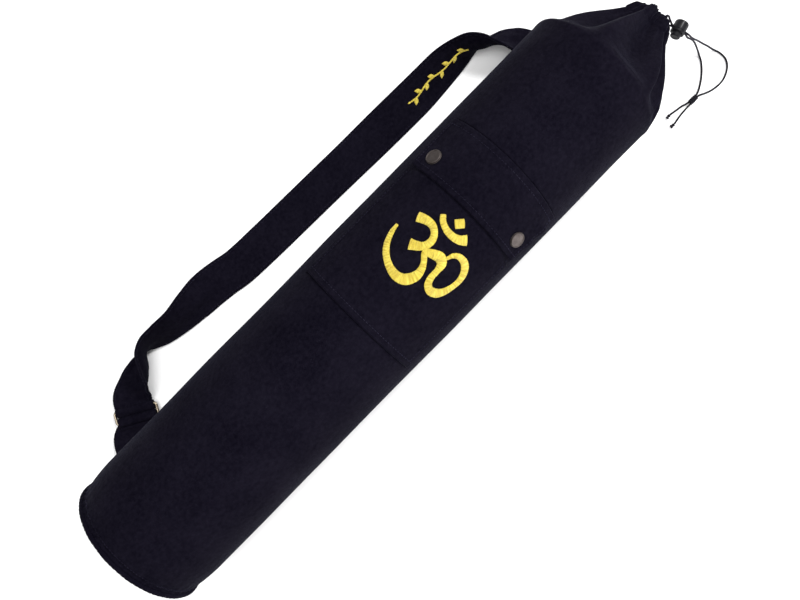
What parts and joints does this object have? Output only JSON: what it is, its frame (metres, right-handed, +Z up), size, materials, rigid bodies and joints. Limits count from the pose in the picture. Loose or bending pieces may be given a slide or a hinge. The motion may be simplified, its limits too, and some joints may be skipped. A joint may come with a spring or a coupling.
{
  "type": "yoga mat bag",
  "caption": "Round cloth yoga mat bag with a gathered drawcord mouth, snap pocket with an embroidered Om sign, and a shoulder strap with a wire ring.",
  "frame": {"origin": "on the flat underside that the bag lies on, under the tube's axis, half way between the base seam and the mouth's end", "axes": "+X along the tube toward the gathered mouth, +Y toward the strap's side, +Z up"},
  "size_m": [0.7768, 0.2588, 0.1497],
  "materials": {
    "bag_cloth": "matte woven cotton, navy black",
    "piping_cloth": "matte woven cotton, navy black",
    "thread": "satin stitch, golden yellow",
    "stud_metal": "satin",
    "ring_metal": "antique",
    "lock_plastic": "gloss",
    "cord_fibre": "braided"
  },
  "bodies": {
    "bag": {"bag_tube": "bag_cloth", "base_panel": "bag_cloth", "base_piping": "piping_cloth", "pocket_panel": "bag_cloth", "pocket_flap": "bag_cloth", "snap_cap_left": "stud_metal", "snap_cap_right": "stud_metal", "om_sign": "thread", "om_crescent": "thread", "om_bindu": "thread", "strap_band": "bag_cloth", "strap_tab": "bag_cloth", "strap_ring": "ring_metal", "strap_embroidery": "thread", "cord_lock_body": "lock_plastic", "cord_strand_inner": "cord_fibre", "cord_strand_outer": "cord_fibre", "cord_tail_inner": "cord_fibre", "cord_tail_outer": "cord_fibre", "cord_knot": "cord_fibre", "tail_knot_inner": "cord_fibre", "tail_knot_outer": "cord_fibre"},
    "lock_button": {"cord_lock_button": "lock_plastic"}
  },
  "joints": [
    {"name": "lock_press", "type": "slide", "parent": "bag", "child": "lock_button", "axis": [0.9659, 0.2588, 0], "range_m": [0, 0.0025], "stiffness_N_per_m": 800, "springref_m": -0.002}
  ]
}
